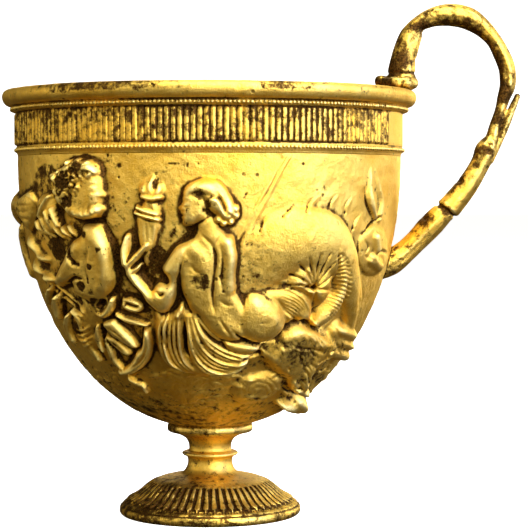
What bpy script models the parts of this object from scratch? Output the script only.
"""Gold cup: a deep bowl with a sea frieze in high relief, a turned foot and one handle cast as a branch.

Metres, +Z up. The cup stands on z = 0 round the Z axis. The handle is at +X and the front of the frieze faces -Y.
"""
import math

import bmesh
import bpy
import numpy as np

# Foot: one turned casting
FOOT_HEIGHT = 0.0264
FOOT_RADIUS = 0.0265
COLLAR_RADIUS = 0.0125
NECK_RADIUS = 0.0062
TONGUES = 60
TONGUE_RELIEF = 0.0005
BOSS_RADIUS = 0.0080

# Bowl: raised sheet with a fluted band and a rolled rim
BOWL_RADIUS = 0.0555
BOWL_DEPTH = 0.0790
BOWL_SEAT = 0.0017
FULLNESS = 2.1
WALL = 0.0012
BEAD_OVERHANG = 0.0008
BAND_HEIGHT = 0.0125
FLUTES = 200
FLUTE_DEPTH = 0.0006
PLAIN_PANEL = 27.5
RIM_OVERHANG = 0.0045
RIM_HEIGHT = 0.0064
RELIEF = 1.0

# Handle: one casting that sits on the rim and meets the wall
HANDLE_REACH = 0.0354
HANDLE_RISE = 0.0258
HANDLE_DROP = 0.0500
HANDLE_THICKNESS = 0.0068

# Joints between the three pieces
GAP = 0.0003

# The sheet on which the frieze is drawn, in millimetres
MM = 0.001
SHEET_RADIUS = 55.5
SHEET_TOP = 104.0
SHEET_DEPTH = 79.0
EYE_AWAY = 545.0
EYE_UP = 92.7
FRONT = -90.0
BACK = 90.0
LEFT = 180.0
BEHIND_HANDLE = 38.0

# Fineness of the faceted solids
WALL_COLUMNS = 2 * FLUTES
WALL_ROWS = 96
RING_COLUMNS = 72
INNER_COLUMNS = 48
NECK_COLUMNS = 24
ENVELOPE_COLUMNS = 96
SMOOTHING = 2
WALL_SHARE = 0.0955
BRANCH_VOXEL = 0.00055
BRANCH_SHARE = 0.037

BOWL_BOTTOM = FOOT_HEIGHT + GAP
BOWL_TOP = BOWL_BOTTOM - BOWL_SEAT + BOWL_DEPTH
BAND_TOP = BOWL_TOP + BAND_HEIGHT
RIM_TOP = BAND_TOP + RIM_HEIGHT


def clear_scene():
    for item in list(bpy.data.objects):
        bpy.data.objects.remove(item, do_unlink=True)


def gold(name, colour, roughness):
    material = bpy.data.materials.new(name)
    material.use_nodes = True
    shader = material.node_tree.nodes["Principled BSDF"]
    shader.inputs["Base Color"].default_value = (*colour, 1.0)
    shader.inputs["Metallic"].default_value = 1.0
    shader.inputs["Roughness"].default_value = roughness
    return material


def finished(name, bm, material):
    """Turns a bmesh into a named object with outward faces, shaded smooth."""
    bmesh.ops.recalc_face_normals(bm, faces=bm.faces)
    if bm.calc_volume(signed=True) < 0:
        bmesh.ops.reverse_faces(bm, faces=bm.faces)
    mesh = bpy.data.meshes.new(name)
    bm.to_mesh(mesh)
    bm.free()
    mesh.materials.append(material)
    for polygon in mesh.polygons:
        polygon.use_smooth = True
    item = bpy.data.objects.new(name, mesh)
    bpy.context.scene.collection.objects.link(item)
    return item


def ring(bm, radius, z, columns):
    """A level ring of points; radius and z may be numbers or one value a column."""
    angle = np.arange(columns) * 2 * math.pi / columns
    radius = np.broadcast_to(radius, columns)
    z = np.broadcast_to(z, columns)
    return [bm.verts.new((r * math.cos(a), r * math.sin(a), h)) for r, a, h in zip(radius, angle, z)]


def stitch(bm, lower, upper):
    """Faces between two rings that start at the same angle, whatever their counts."""
    if len(lower) == len(upper):
        count = len(lower)
        for i in range(count):
            j = (i + 1) % count
            bm.faces.new((lower[i], lower[j], upper[j], upper[i]))
        return
    i = j = 0
    while i < len(lower) or j < len(upper):
        a, b = lower[i % len(lower)], upper[j % len(upper)]
        if (i + 1) / len(lower) <= (j + 1) / len(upper):
            i += 1
            bm.faces.new((a, lower[i % len(lower)], b))
        else:
            j += 1
            bm.faces.new((a, upper[j % len(upper)], b))


def close(bm, edge_ring, z):
    """A disc of triangles from a ring to a point on the axis."""
    centre = bm.verts.new((0.0, 0.0, z))
    count = len(edge_ring)
    for i in range(count):
        bm.faces.new((edge_ring[i], edge_ring[(i + 1) % count], centre))


def lathe(bm, rows):
    """A closed turned body from rows of radius, z and columns, closed on the axis at both ends."""
    rings = [ring(bm, radius, z, columns) for radius, z, columns in rows]
    for lower, upper in zip(rings, rings[1:]):
        stitch(bm, lower, upper)
    close(bm, rings[0], rows[0][1])
    close(bm, rings[-1], rows[-1][1])
    return rings


# Foot

def foot_piece(material):
    """Collar, thin neck with one sharp disc, dome with tongues, dentils and a rolled edge."""
    bm = bmesh.new()
    neck = NECK_RADIUS
    dome_top = 0.45 * FOOT_HEIGHT
    few = NECK_COLUMNS
    tongue = np.where(np.arange(2 * TONGUES) % 2 == 0, 0.5, -0.5) * TONGUE_RELIEF
    rows = [(0.5 * COLLAR_RADIUS, FOOT_HEIGHT, few), (0.96 * COLLAR_RADIUS, FOOT_HEIGHT, 36)]
    for out, up in ((1.0, 0.95), (0.99, 0.913), (0.66, 0.86)):
        rows.append((out * COLLAR_RADIUS, up * FOOT_HEIGHT, 36))
    for out, up in ((1.05, 0.818), (1.0, 0.72), (1.065, 0.686), (1.33, 0.667), (1.10, 0.629), (1.34, 0.447)):
        rows.append((out * neck, up * FOOT_HEIGHT, few))
    for out, up in ((0.434, 0.96), (0.61, 0.855), (0.72, 0.70), (0.775, 0.59)):
        rows.append((out * FOOT_RADIUS, up * dome_top, 40))
    for out, up in ((0.80, 0.50), (0.905, 0.365)):
        rows.append((out * FOOT_RADIUS + 0.6 * tongue, up * dome_top + 0.8 * tongue, 2 * TONGUES))
    for out, up in ((0.94, 0.26), (1.0, 0.135), (0.98, 0.0), (0.89, 0.0)):
        rows.append((out * FOOT_RADIUS, up * dome_top, 48))
    for out, up in ((0.86, 0.13), (0.62, 0.26), (0.42, 0.26), (BOSS_RADIUS / FOOT_RADIUS, 0.0)):
        rows.append((out * FOOT_RADIUS, up * dome_top, few))
    lathe(bm, rows)
    return finished("foot", bm, material)


# Frieze: the drawing of the sea scene and the tools that raise it from the sheet

def sheet_wall(z):
    sunk = np.clip((SHEET_TOP - np.asarray(z, float)) / SHEET_DEPTH, 0.0, 0.9999)
    return SHEET_RADIUS * (1 - sunk**FULLNESS) ** (1 / FULLNESS)


def turned(points, degrees):
    c, s = math.cos(math.radians(degrees)), math.sin(math.radians(degrees))
    out = np.array(points, float)
    out[..., 0] = c * points[..., 0] - s * points[..., 1]
    out[..., 1] = s * points[..., 0] + c * points[..., 1]
    return out


def on_sheet(x, z, facing):
    """Lays points of an elevation on the bowl along the lines of sight."""
    eye = np.array([0.0, -EYE_AWAY, EYE_UP])
    aim = np.stack([x, np.zeros_like(x), z], axis=-1)
    steps = np.linspace(0.86, 1.0, 141)
    line = eye + steps[:, None, None] * (aim - eye)[None]
    gap = np.hypot(line[..., 0], line[..., 1]) - sheet_wall(line[..., 2])
    inside = gap <= 0
    first = np.where(inside.any(axis=0), inside.argmax(axis=0), gap.argmin(axis=0))
    column = np.arange(len(x))
    before = np.maximum(first - 1, 0)
    outer, inner = gap[before, column], gap[first, column]
    share = np.where(np.abs(inner - outer) > 1e-9, np.clip(outer / (outer - inner + 1e-12), 0, 1), 1.0)
    hit = line[before, column] + share[:, None] * (line[first, column] - line[before, column])
    return turned(hit, facing - FRONT)


def smooth_path(rows, steps):
    """A Catmull-Rom curve through rows of numbers."""
    rows = np.asarray(rows, float)
    if len(rows) == 1:
        rows = np.vstack([rows, rows])
        rows[1, 0] += 0.001
    ends = np.vstack([2 * rows[0] - rows[1], rows, 2 * rows[-1] - rows[-2]])
    out = []
    for a, b, c, d in zip(ends, ends[1:], ends[2:], ends[3:]):
        for k in range(steps):
            t = k / steps
            bend = (2 * a - 5 * b + 4 * c - d) * t**2 + (3 * b - a - 3 * c + d) * t**3
            out.append(0.5 * (2 * b + (c - a) * t + bend))
    out.append(rows[-1])
    return np.array(out)


class Relief:
    """Heights in millimetres over points of the sheet, raised one stroke after another."""

    def __init__(self, points):
        self.points = points
        self.height = np.zeros(len(points))
        self.face(FRONT)

    def face(self, facing):
        """Chooses the side from which the next strokes are drawn."""
        self.facing = facing
        p = turned(self.points, FRONT - facing)
        share = EYE_AWAY / (EYE_AWAY + p[:, 1])
        self.x = p[:, 0] * share
        self.z = EYE_UP + (p[:, 2] - EYE_UP) * share
        self.near_side = p[:, 1] < 0

    def along(self, rows, beyond):
        """Points near a path: their index, distance over the half width there, height and half width."""
        path = smooth_path(rows, 6)
        path[:, 2] = np.maximum(path[:, 2], 0.05)
        line = on_sheet(path[:, 0], path[:, 1], self.facing)
        reach = path[:, 2].max() * beyond + 0.5
        near = (self.points > line.min(axis=0) - reach) & (self.points < line.max(axis=0) + reach)
        index = np.flatnonzero(near.all(axis=1))
        p = self.points[index]
        best = np.full(len(index), 1e9)
        height = np.zeros(len(index))
        half = np.ones(len(index))
        for i in range(len(line) - 1):
            run = line[i + 1] - line[i]
            t = np.clip((p - line[i]) @ run / max(run @ run, 1e-12), 0, 1)
            width = path[i, 2] + t * (path[i + 1, 2] - path[i, 2])
            q = np.linalg.norm(p - line[i] - t[:, None] * run, axis=1) / width
            nearer = q < best
            best = np.where(nearer, q, best)
            height = np.where(nearer, path[i, 3] + t * (path[i + 1, 3] - path[i, 3]), height)
            half = np.where(nearer, width, half)
        return index, best, height, half

    def merge(self, index, body, blend):
        now = self.height[index]
        mix = np.clip(0.5 + 0.5 * (body - now) / blend, 0, 1)
        return now + (body - now) * mix + blend * mix * (1 - mix)

    def swell(self, rows, blend=0.5):
        """A rounded body along a path of rows: across, up, half width, height."""
        index, q, height, half = self.along(rows, 1.6)
        body = height * np.sqrt(np.maximum(1 - q * q, 0)) - np.maximum(q - 1, 0) * half * 1.6
        self.height[index] = self.merge(index, body, blend)

    def line(self, rows):
        """A fine ridge along a path, or a cut where the heights are negative."""
        index, q, height, _ = self.along(rows, 1.0)
        self.height[index] += height * np.cos(np.minimum(q, 1) * math.pi / 2) ** 2

    def cut(self, points, half, depth):
        """A cut of one width and depth that runs out at both ends."""
        last = len(points) - 1
        ends = [0.5 if last > 1 and i in (0, last) else 1.0 for i in range(len(points))]
        self.line([(x, z, half * e, -depth * e * e) for (x, z), e in zip(points, ends)])

    def plate(self, outline, height, edge):
        """A low raised field inside an outline, rounded at its edge."""
        edge_line = smooth_path([*outline, outline[0]], 4)
        low, high = edge_line.min(axis=0), edge_line.max(axis=0)
        inside_box = (self.x > low[0]) & (self.x < high[0]) & (self.z > low[1]) & (self.z < high[1])
        index = np.flatnonzero(self.near_side & inside_box)
        x, z = self.x[index], self.z[index]
        inside = np.zeros(len(index), bool)
        gap = np.full(len(index), 1e9)
        for (ax, az), (bx, bz) in zip(edge_line, edge_line[1:]):
            rise = bz - az if abs(bz - az) > 1e-9 else 1e-9
            inside ^= ((az > z) != (bz > z)) & (x < ax + (z - az) * (bx - ax) / rise)
            dx, dz = bx - ax, bz - az
            t = np.clip(((x - ax) * dx + (z - az) * dz) / max(dx * dx + dz * dz, 1e-12), 0, 1)
            gap = np.minimum(gap, np.hypot(x - ax - t * dx, z - az - t * dz))
        share = np.where(inside, np.minimum(gap / edge, 1), 0)
        share = share * share * (3 - 2 * share)
        self.height[index] = np.where(share > 0, self.merge(index, height * share, 0.4 * share + 1e-6), self.height[index])

    def folds(self, edge_a, edge_b, count, half, height):
        """Ridges spaced evenly between two edges."""
        a, b = np.asarray(edge_a, float), np.asarray(edge_b, float)
        for k in range(count):
            middle = a + (b - a) * (k + 0.5) / count
            last = len(middle) - 1
            ends = [0.5 if i in (0, last) else 1.0 for i in range(last + 1)]
            self.line([(x, z, half * e, height * e * e) for (x, z), e in zip(middle, ends)])

    def leaf(self, points, half, height):
        """A pointed leaf with a cut midrib."""
        last = len(points) - 1
        widths = [max(half * math.sin(math.pi * (0.1 + 0.82 * i / last)), 0.3) for i in range(last + 1)]
        self.swell([(x, z, w, height) for (x, z), w in zip(points, widths)], 0.3)
        self.cut(points, 0.6, 0.5)


def ketos(r):
    """A sea dragon: coil behind the rider, crest of spines, comb, fin, chest, open jaws and claws."""
    r.swell([(11, 66, 5, 0.4), (15, 72, 7.5, 1.4), (21, 77, 8.5, 2.4), (28, 79.6, 8.6, 3.2), (34.6, 78.6, 8.2, 3.5),
             (39.6, 73.6, 6, 3.3), (42, 66, 4.2, 2.9), (42.4, 59, 3, 2.5), (41.6, 53.6, 2.4, 2.2)], 1.0)
    for root, tip in (((14.6, 81.8), (20.6, 88.9)), ((21.0, 86.0), (29.8, 91.8)), ((28.2, 87.4), (34.2, 93.6)),
                      ((35.6, 89.8), (39.0, 93.8)), ((41.0, 87.4), (43.6, 92.4)), ((43.6, 82.6), (46.6, 87.4))):
        bend = (root[0] + 0.45 * (tip[0] - root[0]), root[1] + 0.6 * (tip[1] - root[1]))
        r.swell([(root[0] + 1.6, root[1] - 0.6, 1.5, 2.2), (bend[0] + 1.0, bend[1] - 0.8, 1.1, 1.9), (*tip, 0.3, 0.9)], 0.3)
    r.swell([(38.6, 74.4, 1.3, 2.9), (39.9, 67.4, 1.7, 2.9), (38.2, 60, 2.2, 2.9), (32.6, 55.2, 2.6, 2.9)], 0.4)
    # Ribbed fin
    r.plate([(24.2, 65.6), (25.2, 69), (28, 72), (31.4, 74.2), (35, 74.6), (37.6, 72.6), (38.2, 68), (37, 64), (34, 60.6),
             (31.6, 60.6), (29, 63.4)], 2.6, 1.4)
    for k in range(7):
        turn = math.radians(162 - 20 * k)
        r.cut([(31.6 + s * math.cos(turn), 62 + s * math.sin(turn)) for s in (1.0, 6.0, 11.0)], 0.7, 0.9)
    # Chest, forehead, muzzle, lower jaw
    r.swell([(24, 51, 3.6, 2), (28, 50, 4.4, 2.6), (32, 48, 4.6, 3), (36.6, 47.6, 3.6, 3)], 1.0)
    r.swell([(33, 49, 4, 3), (30, 45, 4, 3.4), (27.4, 41.4, 3.4, 3.8), (26.2, 38.6, 2.8, 4.2)], 0.8)
    r.swell([(24.8, 39.2, 1.9, 3.6), (26.4, 36.4, 2.2, 4.6), (27.4, 35.4, 1.6, 4.6)], 0.5)
    r.swell([(22.4, 37.6, 1.4, 2.8), (24.2, 38.6, 1.6, 3.2)], 0.5)
    r.swell([(22.4, 31.2, 1.2, 2.8), (25, 31.2, 1.6, 4), (27.4, 31.8, 1.5, 4.4)], 0.4)
    r.cut([(21.4, 33.6), (23.6, 34.4), (26, 33.6), (28, 33.6)], 1.4, 1.8)
    r.cut([(33.8, 45.2), (34.8, 47), (35.6, 47.4)], 1.0, 1.2)
    # Clawed foot
    r.swell([(39, 50.6, 2.4, 2.8), (40.6, 47.4, 2.4, 3.2), (39.8, 45.4, 1.8, 3.4)], 0.5)
    r.swell([(40.6, 58, 1.2, 2.9), (41.6, 54.4, 1.3, 3.2), (42.8, 51.6, 1.2, 3.4)], 0.4)
    for k in range(3):
        x, z = 43.2 - 1.4 * k, 50.6 - 3.0 * k
        r.swell([(x - 2.2, z + 0.8, 1.2, 3.6), (x, z, 1.3, 4.0)], 0.25)
    # Rock under the dragon
    r.swell([(13.4, 34.6, 6.4, 2.2), (17, 35.6, 5.6, 2)], 0.8)


def rider(r):
    """A sea nymph seen from behind, her head in profile to the left, with torch, spear and drapery."""
    # Cloth round the hips, in hanging folds
    r.plate([(-16.4, 58.6), (-16.2, 50), (-14.6, 44.6), (-9, 40.6), (-1, 38.8), (6, 39.6), (10.6, 43.4), (13.6, 46.4),
             (9.6, 47.2), (4, 49.6), (0, 53.4), (-4, 58.8), (-9.4, 60), (-13, 57.6)], 1.7, 1.6)
    r.folds([(-15.6, 57.6), (-15.3, 52), (-14.6, 47), (-12, 43), (-7.6, 40.4)],
            [(-8.6, 56.6), (-8.2, 52), (-7.8, 48), (-6.4, 45), (-4.6, 42.6)], 4, 1.0, 1.2)
    r.folds([(-6.6, 57.4), (-6.4, 51), (-5.6, 45.6), (-2.4, 41), (2.4, 39.4), (6, 39.8)],
            [(-4, 57.6), (-1.6, 52.6), (1.6, 49.4), (5, 47.8), (8.6, 46.9), (11, 46.6)], 5, 1.1, 1.2)
    r.swell([(-11.6, 57.6, 1.4, 3.2), (-9.4, 57.4, 1.7, 3.4), (-7.6, 57.2, 1.4, 3.2)], 0.3)
    r.swell([(7.4, 49.6, 1.9, 2.4), (11, 48, 1.8, 2.6), (15, 47.8, 1.4, 2.2), (18.6, 49, 0.9, 1.6)], 0.4)
    r.cut([(10.4, 45.6), (12.4, 45.4), (14.2, 45.9)], 1.1, 1.4)
    r.cut([(-7.3, 56), (-7.2, 52), (-6.9, 47.6), (-6, 45.6)], 0.9, 1.4)
    # Cloth over the leg
    r.plate([(15.6, 64.4), (22, 63.8), (27.6, 63.4), (30.6, 60), (30.2, 55.8), (26, 55.6), (23.2, 54.6), (22.6, 57.4),
             (20.4, 60.6)], 2.4, 1.2)
    r.folds([(16.4, 64), (22.6, 63.2), (27.6, 61), (29.8, 57.2)], [(18.6, 62.2), (21.8, 60.4), (23.6, 58.2), (24.2, 55.8)], 3, 0.9, 0.8)
    # Spear and torch
    for side in (-0.6, 0.6):
        r.line([(23.4 + side, 105, 0.7, 0.7), (14.6 + side, 88.6, 0.7, 0.7), (7.8 + side, 76, 0.6, 0.4)])
    r.swell([(-20.6, 68, 1.8, 1.6), (-19.6, 76, 2.2, 1.9), (-18.8, 84.4, 2.9, 2.2)], 0.3)
    r.swell([(-21.6, 86.6, 0.9, 2.7), (-18.6, 85.8, 1, 3), (-15.6, 85.2, 0.9, 2.7)], 0.2)
    r.swell([(-18.3, 86, 2.6, 2.3), (-17.6, 88.4, 2.1, 2.2), (-17, 91.2, 1.7, 2.1), (-16.4, 94.5, 1.6, 2.0)], 0.3)
    # Back, shoulders, arm and hand
    r.swell([(-2, 77, 6, 3), (-1, 71, 6.6, 3.3), (0.2, 65, 6.4, 3.2), (2.5, 59, 6.6, 3.3), (5, 55, 6.5, 3.2)], 0.8)
    r.swell([(-6.5, 77, 3.4, 2.9), (1, 78.5, 3, 3), (4.6, 77.5, 2.6, 3.2), (5, 73, 2.2, 2.9), (4.6, 68.5, 2.2, 2.9)], 0.8)
    r.swell([(-1, 84.5, 3.6, 3.3), (-0.5, 81.5, 3.5, 3), (-0.5, 78, 4.2, 3)], 0.6)
    r.swell([(-1.5, 79.5, 3, 3), (-5.5, 78.2, 2.9, 3.2), (-8.6, 76.2, 2.9, 3.5), (-10.6, 72, 2.8, 3.6),
             (-12, 67.5, 2.7, 3.7), (-13.4, 63.5, 2.7, 3.8), (-14.6, 60.8, 2.2, 3.9)])
    r.swell([(-14.6, 60.8, 2.2, 3.9), (-17, 63.6, 2.5, 3.8), (-20, 66.4, 2, 3.5), (-22.8, 69.6, 1.5, 3.1),
             (-24.3, 73, 1.2, 2.8), (-24.7, 76.5, 1.1, 2.7), (-24.2, 79.8, 0.9, 2.4)], 0.4)
    r.swell([(-23.4, 72.4, 1.1, 2.9), (-21.4, 74.6, 1.1, 2.9), (-19.6, 76.6, 0.9, 2.8), (-18.2, 78, 0.7, 2.6)], 0.3)
    # Hips and thigh
    r.swell([(1.5, 58, 5.5, 3.2), (4.5, 55, 5.4, 3.4), (8, 54, 4.6, 3.3)], 1.2)
    r.swell([(9.5, 56.8, 5.6, 3.4), (13.5, 56.8, 6.8, 4.2), (16.5, 55.8, 5.8, 4)], 1.0)
    r.cut([(7.6, 52.6), (9.6, 51.6), (14, 49.2), (19.6, 50.6), (21.2, 51.6)], 0.8, 1.2)
    r.cut([(0.2, 79), (1.5, 72), (0.7, 62.5), (1.4, 59)], 1.2, 0.6)
    # Head in profile, hair in a roll with a knot at the nape
    r.swell([(-2.6, 90.6, 6.6, 4.1), (0.2, 90.8, 6.6, 4.4)])
    r.swell([(-5.6, 91, 3.2, 3.9), (-5.9, 88, 2.8, 3.8), (-5.4, 85.6, 2.2, 3.6)], 0.6)
    r.swell([(-8, 90, 0.8, 2.6), (-8.8, 88.6, 0.75, 2.9)], 0.3)
    r.swell([(-7.2, 84.4, 1.1, 3.0)], 0.4)
    r.swell([(-6.6, 93.2, 1.7, 4.2), (-3.6, 95, 1.9, 4.6), (0, 95.2, 2, 4.7), (3, 93.4, 2.1, 4.8),
             (5.2, 90.6, 2.1, 4.7), (6.2, 87.8, 2, 4.3)], 0.4)
    r.swell([(4.6, 86.6, 2.3, 4.3), (6.2, 86.4, 1.9, 4.2)], 0.4)
    r.cut([(-5.6, 93.0), (-2.4, 93.0), (1.2, 91.6), (3.4, 88.2)], 0.7, 0.7)


def merman(r):
    """A merman seen from behind with curly hair and beard, straps, a leafy tail and his raised hand."""
    r.swell([(-33, 61, 4.6, 2.4), (-35.6, 57, 4.2, 2.2), (-38.6, 53, 4, 2.2), (-36, 49.6, 3.2, 2), (-33.4, 51, 2.2, 1.6)], 0.8)
    for points, half, height in (
        (((-44.8, 63.2), (-45.4, 60.4), (-44.6, 57.2)), 2.0, 2.4),
        (((-40.2, 55.6), (-40.6, 52.8), (-39, 49.8)), 2.2, 2.9),
        (((-31.2, 56), (-28.4, 54.2), (-25.2, 51.6), (-21.6, 48.4)), 2.0, 3.0),
        (((-28, 57.6), (-24.8, 56), (-21.6, 55.2), (-18.6, 54.4)), 1.2, 2.4),
        (((-30.8, 52.2), (-28, 50.2), (-25.6, 47.8), (-23.8, 45.6)), 1.5, 2.4),
        (((-30.8, 50.8), (-29.6, 47.4), (-28.2, 44.2), (-25.4, 41.4)), 1.2, 2.6),
        (((-18.4, 53.2), (-18.6, 49.6), (-20.2, 45.4), (-23, 42.4), (-26.6, 41)), 2.5, 3.0),
    ):
        r.leaf(points, half, height)
    r.swell([(-25.6, 61.4, 1.5, 2.2), (-23, 60.4, 1.9, 2.3), (-21.4, 60.2, 1.6, 2.2)], 0.3)
    strap = ((-53.4, 80.4), (-50.2, 73.6), (-48.4, 69.6), (-46.2, 65.2), (-43.2, 62.2), (-37.2, 57.8))
    for side in (-0.8, 0.8):
        r.swell([(x + side * 0.6, z + side, 0.8, 2.1) for x, z in strap], 0.2)
    # Back and arms
    r.swell([(-34.6, 78, 6.6, 3.2), (-35.2, 72, 7.2, 3.4), (-35, 66, 6.8, 3.2), (-33.6, 62.6, 5.6, 2.8)], 0.8)
    r.swell([(-38.6, 76.8, 4.2, 3.2), (-40.6, 73.4, 3.6, 3), (-42.6, 70, 2.6, 2.4), (-44.6, 67.4, 2, 1.8)], 0.6)
    r.swell([(-34, 80.6, 3.2, 3.4), (-32, 78.4, 3, 3.4), (-31, 73.6, 2.6, 3.2), (-30.8, 67.4, 2.2, 3)], 0.6)
    r.cut([(-42.6, 67.6), (-40.4, 68.8), (-38.2, 69.4), (-36.4, 68.6)], 0.9, 0.9)
    r.cut([(-36.2, 81), (-35.8, 77), (-35.6, 72), (-34.8, 66)], 1.1, 0.6)
    # Head, beard and curls
    r.swell([(-38.6, 94.4, 7, 3.8), (-37.6, 91.6, 6.2, 3.8)])
    r.swell([(-36.2, 95.6, 2.6, 4), (-35.8, 92, 2.8, 4.4), (-35.6, 89.4, 2.4, 4.4)], 0.4)
    for k in range(6):
        x, z = -43.4 + 1.6 * k, 88.6 - 1.7 * math.sin(math.pi * k / 5)
        r.swell([(x, z + 1.6, 1.3, 4.0), (x + 0.4, z - 1, 0.5, 3.2)], 0.25)
    golden = math.pi * (3 - math.sqrt(5))
    for k in range(20):
        spread = math.sqrt((k + 0.5) / 20)
        x, z = -40.0 + 6.0 * spread * math.cos(k * golden), 98.4 + 4.6 * spread * math.sin(k * golden)
        if x < -37.6 or z > 97.4:
            r.swell([(x, z, 1.5, 4.5 - 0.9 * spread)], 0.2)
    # Shell at the shoulder, hand and shaggy mantle
    r.swell([(-53.6, 91.4, 3.6, 2.6), (-54.6, 88.6, 4, 2.9), (-54, 84.6, 2.6, 2), (-53.2, 82.4, 1.2, 1.2)], 0.4)
    r.swell([(-47.2, 92.2, 0.9, 2.2), (-48.6, 89.6, 1.5, 2.8), (-49.2, 87, 1.6, 2.8)], 0.4)
    for k in range(3):
        x, z = -49.0 + 1.5 * k, 87.6 + 0.7 * k
        r.swell([(x, z, 0.95, 2.9), (x + 0.8, z - 2.6, 0.9, 2.7), (x + 1.6, z - 5.2, 0.7, 2.2)], 0.25)
    for k in range(5):
        x = -51.0 + 2.2 * k
        r.swell([(x, 84.6 - 0.5 * k, 0.9, 1.8), (x + 0.9, 82.6 - 0.3 * k, 0.9, 1.8), (x + 2, 80.6, 0.4, 1.2)], 0.25)


def root_leaves(r):
    """Leaves that spread on the wall beside the lower end of the handle."""
    r.leaf([(50.2, 85.4), (48.4, 90), (47.8, 96), (48.6, 103)], 2.2, 1.9)
    r.leaf([(51.6, 85.6), (51.6, 91), (50.8, 97), (49.4, 103.6)], 2.2, 1.6)
    r.swell([(49.6, 80, 2.6, 1.8), (48.6, 76, 3.4, 2.4), (49.6, 72, 2.8, 2)])


def conch(r):
    """The trumpet shell that the merman holds, and his arm and cloak behind it."""
    r.swell([(17, 90.2, 1.1, 2.4), (12, 89.8, 1.9, 2.8), (7, 89, 3.2, 2.9), (2, 88.4, 4.8, 2.8), (-1.6, 88, 5.4, 2)], 0.4)
    for x, half in ((12.6, 1.8), (9.0, 2.6), (5.4, 3.6)):
        r.cut([(x + 0.8, 89.3 + half), (x - 0.4, 89.3), (x + 0.4, 89.3 - half)], 0.6, 0.5)
    r.swell([(10, 82, 1.6, 1.6), (4, 78, 2.4, 2), (0, 73, 2.6, 2.2), (2, 67.6, 2, 1.8)])
    for k in range(4):
        r.swell([(8 - 3.2 * k, 79.6 - 1.6 * k, 0.9, 1.6), (6 - 3.4 * k, 74 - 1.4 * k, 1.1, 1.9), (6.6 - 3.2 * k, 68, 0.8, 1.2)], 0.3)


def dolphin(r, x, z, size, way):
    """A dolphin from its beak, body arched, with back fin, side fin and two flukes."""
    def at(*rows):
        return [(x + way * along * size, z + up * size, half * size, height) for along, up, half, height in rows]
    r.swell(at((0, 0, 0.7, 1.4), (3.2, 1, 1.2, 2), (6, 3, 3, 2.9), (10.4, 5.4, 3.7, 3.2), (15, 6, 3.3, 3), (19.6, 4.4, 2.2, 2.5),
               (22.8, 1, 1.2, 2), (24, -2.4, 0.8, 1.6)), 0.4)
    for lean in (-3.6, 3.4):
        r.swell(at((24, -2, 0.9, 1.8), (24 + 0.6 * lean, -4, 1.5, 2), (24 + 1.3 * lean, -7.2, 0.4, 0.9)), 0.3)
    r.swell(at((11.6, 8.6, 1.5, 2.2), (14, 11, 1, 1.6), (16.6, 12, 0.4, 0.8)), 0.3)
    r.swell(at((8.6, 2.4, 1.4, 3.2), (9.6, -0.6, 1.2, 2.4), (12, -3, 0.4, 1)), 0.3)


def sea_horse(r):
    """A horse that ends in a fish: coil and flukes, chest, head, mane and two finned forelegs."""
    r.swell([(-2, 66, 8, 3), (7, 60, 7.6, 3.2), (17, 58, 6.8, 3.2), (26, 63, 5.8, 3), (29, 72, 4.8, 2.8),
             (24, 79.6, 4, 2.6), (16.4, 78, 3.2, 2.6), (15, 71.6, 2.4, 2.2)], 0.8)
    r.leaf([(15, 71), (12, 75.6), (10.6, 81), (12.6, 86)], 2.2, 2.8)
    r.leaf([(14.6, 70.6), (9.6, 72), (5.4, 76.4), (4, 82)], 2.2, 2.6)
    r.swell([(-4, 66, 8, 3.3), (-9, 73, 6.2, 3.4), (-10.6, 80, 4.8, 3.4), (-12.6, 87, 4, 3.6), (-16, 92.4, 3.2, 3.8)], 0.8)
    r.swell([(-16, 92.6, 3.2, 3.9), (-20.4, 89.6, 2.7, 4), (-23.8, 85.4, 1.9, 3.8), (-24.8, 83.4, 1.8, 3.7)])
    r.swell([(-14.6, 94.6, 1, 4), (-14.2, 97.4, 0.7, 3.2), (-14.8, 99, 0.4, 2)], 0.3)
    for k in range(8):
        x, z = -11.4 + 0.8 * k, 95.6 - 3.0 * k
        r.swell([(x - 2, z - 1, 1, 3.4), (x + 1, z - 0.4, 1.1, 3), (x + 3.6, z - 2.6, 0.4, 1.6)], 0.25)
    r.swell([(-8, 63, 3.6, 3.2), (-15, 65.4, 2.4, 3.2), (-21, 68.4, 1.6, 3), (-24.6, 64.6, 1.3, 2.8), (-26, 61, 1.2, 2.6)])
    r.leaf([(-26, 61.4), (-28.4, 58.6), (-31.6, 58)], 1.6, 2.6)
    r.swell([(-5, 59, 3.4, 3), (-11, 56.6, 2.3, 3), (-17, 57.4, 1.6, 2.8), (-19.4, 53, 1.2, 2.6)])
    r.leaf([(-19.4, 53.4), (-21.8, 50.4), (-25.2, 50)], 1.5, 2.4)


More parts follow.
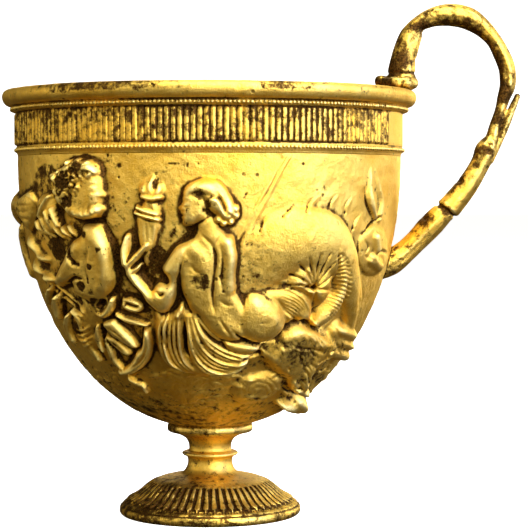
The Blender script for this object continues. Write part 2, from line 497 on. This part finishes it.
def frieze_heights(share, angle):
    """Relief in millimetres on a grid of rows (share of the depth) and columns (angle)."""
    z = SHEET_TOP - share * SHEET_DEPTH
    radius = sheet_wall(z)
    grid = np.empty((len(share), len(angle), 3))
    grid[..., 0] = radius[:, None] * np.cos(angle)
    grid[..., 1] = radius[:, None] * np.sin(angle)
    grid[..., 2] = z[:, None]
    r = Relief(grid.reshape(-1, 3))
    r.face(LEFT)
    conch(r)
    dolphin(r, -37.0, 62.0, 1.0, 1)
    r.face(BACK)
    sea_horse(r)
    r.face(BEHIND_HANDLE)
    dolphin(r, 22.0, 52.0, 1.05, -1)
    r.face(FRONT)
    ketos(r)
    rider(r)
    merman(r)
    root_leaves(r)
    height = r.height.reshape(len(share), len(angle))
    # Smoothed, then faded out at the bead row, at the foot and under the handle's end
    for _ in range(SMOOTHING):
        around = np.roll(height, 1, axis=1) + np.roll(height, -1, axis=1)
        height[1:-1] = 0.4 * height[1:-1] + 0.15 * (around[1:-1] + height[:-2] + height[2:])
    fade = np.clip((z - 29.0) / 4.0, 0, 1) * np.clip((SHEET_TOP - z) / 1.5, 0, 1)
    from_root = np.hypot(SHEET_RADIUS * np.angle(np.exp(1j * angle))[None, :], z[:, None] - 74.0)
    return height * fade[:, None] * np.clip((from_root - 9.0) / 3.0, 0, 1)


# Bowl

def wall_point(share):
    """Radius and z of the bowl's smooth outer wall at a share of its depth below the bead row."""
    return BOWL_RADIUS * (1 - share**FULLNESS) ** (1 / FULLNESS), BOWL_TOP - share * BOWL_DEPTH


def wall_shares(rows):
    """Shares of the depth that space the rows evenly along the wall, from the foot to the bead row."""
    fine = np.linspace(0.0, 1 - BOWL_SEAT / BOWL_DEPTH, 2000)
    radius, z = wall_point(fine)
    run = np.concatenate([[0.0], np.cumsum(np.hypot(np.diff(radius), np.diff(z)))])
    return np.interp(np.linspace(run[-1], 0, rows), run, fine)


def wall_normal(share):
    step = 1e-4
    r0, z0 = wall_point(np.clip(share - step, 0, 1))
    r1, z1 = wall_point(np.clip(share + step, 0, 1 - 1e-6))
    long = np.hypot(r1 - r0, z1 - z0)
    return -(z1 - z0) / long, (r1 - r0) / long


def rim_outline():
    """Radius and z from the top of the fluted band over the roll to the mouth."""
    rows = ((0.12, 0.0), (0.40, 0.08), (0.46, 0.28), (0.90, 0.47), (1.0, 0.68), (0.93, 0.88), (0.68, 1.0), (0.30, 0.97), (-0.02, 0.76))
    return [(BOWL_RADIUS + out * RIM_OVERHANG, BAND_TOP + up * RIM_HEIGHT) for out, up in rows]


def inner_wall(rows):
    """Radius and z of the smooth inside, one wall's thickness in, down to the level floor."""
    share = np.linspace(0.0, 1 - BOWL_SEAT / BOWL_DEPTH, rows) ** 0.8 * (1 - BOWL_SEAT / BOWL_DEPTH) ** 0.2
    radius, z = wall_point(share)
    out, up = wall_normal(share)
    radius, z = radius - WALL * out, z + WALL * np.abs(up)
    floor = BOWL_BOTTOM + WALL
    keep = z > floor + 0.3 * WALL
    edge = np.interp(floor, z[::-1], radius[::-1])
    return [*zip(radius[keep], z[keep]), (edge, floor), (0.4 * edge, floor)]


def bowl_piece(material):
    """The shell: flat seat, frieze wall, bead rows, fluted band, rolled rim, smooth inside."""
    bm = bmesh.new()
    angle = np.arange(WALL_COLUMNS) * 2 * math.pi / WALL_COLUMNS
    share = wall_shares(WALL_ROWS)
    height = RELIEF * MM * frieze_heights(share, angle)
    radius, z = wall_point(share)
    out, up = wall_normal(share)
    seat = ring(bm, radius[0], z[0], RING_COLUMNS)
    centre_ring = ring(bm, 0.5 * radius[0], z[0], NECK_COLUMNS)
    close(bm, centre_ring, z[0])
    stitch(bm, seat, centre_ring)
    free = []
    below = seat
    for k in range(1, WALL_ROWS - 1):
        row = ring(bm, radius[k] + height[k] * out[k], z[k] + height[k] * up[k], WALL_COLUMNS)
        stitch(bm, below, row)
        free += row
        below = row
    # Lower bead row, then the flutes with a plain panel at the handle
    for over, rise in ((0.3, 0.06), (1.0, 0.14), (0.5, 0.22)):
        row = ring(bm, BOWL_RADIUS + over * BEAD_OVERHANG, BOWL_TOP + rise * BAND_HEIGHT, RING_COLUMNS)
        stitch(bm, below, row)
        below = row
    off_handle = np.abs(np.degrees(np.angle(np.exp(1j * angle))))
    fluted = off_handle > PLAIN_PANEL
    ridge = np.where(np.arange(WALL_COLUMNS) % 2 == 0, 0.5, -0.5) * FLUTE_DEPTH * fluted
    for rise in (0.25, 0.97):
        row = ring(bm, BOWL_RADIUS + 0.7 * BEAD_OVERHANG + ridge, BOWL_TOP + rise * BAND_HEIGHT, WALL_COLUMNS)
        stitch(bm, below, row)
        free += [v for v, kept in zip(row, fluted) if not kept]
        below = row
    for r, h in rim_outline():
        row = ring(bm, r, h, RING_COLUMNS)
        stitch(bm, below, row)
        below = row
    inside = inner_wall(10)
    for k, (r, h) in enumerate(inside):
        row = ring(bm, r, h, RING_COLUMNS if k == 0 else INNER_COLUMNS if k < len(inside) - 1 else NECK_COLUMNS)
        stitch(bm, below, row)
        below = row
    close(bm, below, inside[-1][1])
    bm.verts.index_update()
    index = [v.index for v in free]
    item = finished("bowl", bm, material)
    group = item.vertex_groups.new(name="frieze")
    group.add(index, 1.0, "REPLACE")
    thin = item.modifiers.new("thin", "DECIMATE")
    thin.ratio = WALL_SHARE
    thin.vertex_group = "frieze"
    return item


# Handle

def place(x, z):
    """Where a point of the handle's drawing, in millimetres, stands on this cup."""
    out = BOWL_RADIUS + (x - SHEET_RADIUS) * HANDLE_REACH / 35.4
    above = z - 122.9
    rise = above * (HANDLE_RISE / 25.8 if above > 0 else HANDLE_DROP / 50.0)
    return out, RIM_TOP + rise


def stem(bm, rows, sides=14):
    """A closed tube in the plane y = 0 through rows of x, z and radius in millimetres, with round ends."""
    path = smooth_path(rows, 3)
    thick = HANDLE_THICKNESS / 6.8
    centres = np.array([place(x, z) for x, z in path[:, :2]])
    tangent = np.gradient(centres, axis=0)
    tangent /= np.linalg.norm(tangent, axis=1)[:, None]
    rings = []
    for (cx, cz), (tx, tz), radius in zip(centres, tangent, path[:, 2] * thick):
        turn = np.arange(sides) * 2 * math.pi / sides
        rings.append([bm.verts.new((cx - tz * radius * math.cos(a), radius * math.sin(a), cz + tx * radius * math.cos(a))) for a in turn])
    for lower, upper in zip(rings, rings[1:]):
        stitch(bm, lower, upper)
    for end in (rings[0], rings[-1]):
        bm.faces.new(end)
    for end in (0, -1):
        ball(bm, *rows[end][:2], (rows[end][2],) * 3)


def ball(bm, x, z, radii, y=0.0):
    """An ellipsoid at a point of the handle's drawing."""
    thick = HANDLE_THICKNESS / 6.8
    cx, cz = place(x, z)
    made = bmesh.ops.create_icosphere(bm, subdivisions=3, radius=1.0)
    for v in made["verts"]:
        v.co = (cx + v.co.x * radii[0] * thick, (y + v.co.y * radii[1]) * thick, cz + v.co.z * radii[2] * thick)


def cup_envelope():
    """A solid turned body one gap larger than the bowl, to trim the handle."""
    bm = bmesh.new()
    share = wall_shares(20)
    radius, z = wall_point(share)
    out, up = wall_normal(share)
    rows = [(r + GAP * o, h + GAP * u, ENVELOPE_COLUMNS) for r, h, o, u in zip(radius, z, out, up)]
    for rise in (0.06, 0.95):
        rows.append((BOWL_RADIUS + BEAD_OVERHANG + GAP, BOWL_TOP + rise * BAND_HEIGHT, ENVELOPE_COLUMNS))
    for r, h in rim_outline()[1:7]:
        side = 1 if h > BAND_TOP + 0.5 * RIM_HEIGHT else -1
        rows.append((r + GAP, h + GAP * side, ENVELOPE_COLUMNS))
    lathe(bm, rows)
    item = finished("cup_envelope", bm, None)
    item.hide_render = True
    item.display_type = "WIRE"
    return item


def handle_piece(material):
    """Calyx on the rim, thick stem that arches out and down, a joint, a lower stem to the wall, a side shoot."""
    bm = bmesh.new()
    stem(bm, [(55.8, 126.5, 4.4), (55.8, 129.5, 4.25), (56.2, 133, 3.9), (56.9, 136.5, 3.4), (58.7, 140, 2.75), (61.2, 143, 2.7),
              (64.6, 144.9, 3.1), (69, 145.4, 3.3), (74.2, 144.9, 3.35), (78.8, 142.8, 3.25), (82, 140, 3), (84.5, 137, 2.75),
              (86.2, 133.5, 2.45), (87.2, 129, 2.25), (87, 124.8, 1.95), (86, 121, 1.7), (84.9, 118, 1.6), (84, 115, 1.65),
              (83.2, 112, 1.9), (82, 109, 2.5), (80.6, 106.3, 3.1), (79.2, 103.4, 3.1), (77.8, 100.3, 2.9), (75, 96, 3.4),
              (72.6, 93.2, 3.75), (70.2, 90.4, 3.9), (68.8, 88.8, 3.6)])
    stem(bm, [(67.9, 87.3, 3), (66.4, 85.6, 3.7), (64.2, 83.4, 3.8), (61, 80.6, 3.45), (58, 78, 3.1), (55.5, 75.6, 3.5), (52, 73, 4.6)])
    stem(bm, [(81.8, 104.6, 1.6), (84.6, 109, 1.35), (86.2, 112.6, 1.15), (87.4, 116, 1.05), (88.6, 119, 0.95), (90, 121.6, 0.85)], 10)
    # Calyx: a boss over the rim, a ring round the stem and a bud at the mouth
    ball(bm, 55.0, 125.2, (5.9, 6.6, 2.0))
    for k in range(12):
        turn = 2 * math.pi * k / 12
        ball(bm, 55.0 + 4.9 * math.cos(turn), 126.0, (1.7, 1.9, 1.35), 5.7 * math.sin(turn))
    ball(bm, 49.9, 126.3, (1.7, 2.2, 1.7))
    ball(bm, 57.8, 123.6, (3.0, 4.6, 1.9))
    # Knots of the branch
    for x, z, size in ((86.9, 125.2, 2.35), (85.9, 133.6, 2.8), (64.0, 145.0, 3.35), (80.9, 105.8, 3.5), (66.6, 85.2, 3.95)):
        ball(bm, x, z, (size, size, size))
    item = finished("handle", bm, material)
    skin = item.modifiers.new("skin", "REMESH")
    skin.mode = "VOXEL"
    skin.voxel_size = BRANCH_VOXEL
    skin.use_smooth_shade = True
    even = item.modifiers.new("even", "SMOOTH")
    even.factor = 0.5
    even.iterations = 3
    thin = item.modifiers.new("thin", "DECIMATE")
    thin.ratio = BRANCH_SHARE
    trim = item.modifiers.new("trim", "BOOLEAN")
    trim.operation = "DIFFERENCE"
    trim.solver = "EXACT"
    trim.object = cup_envelope()
    return item


clear_scene()
foot_piece(gold("turned gold", (0.80, 0.56, 0.16), 0.30))
bowl_piece(gold("chased gold", (0.83, 0.60, 0.18), 0.32))
handle_piece(gold("cast gold", (0.78, 0.54, 0.15), 0.36))
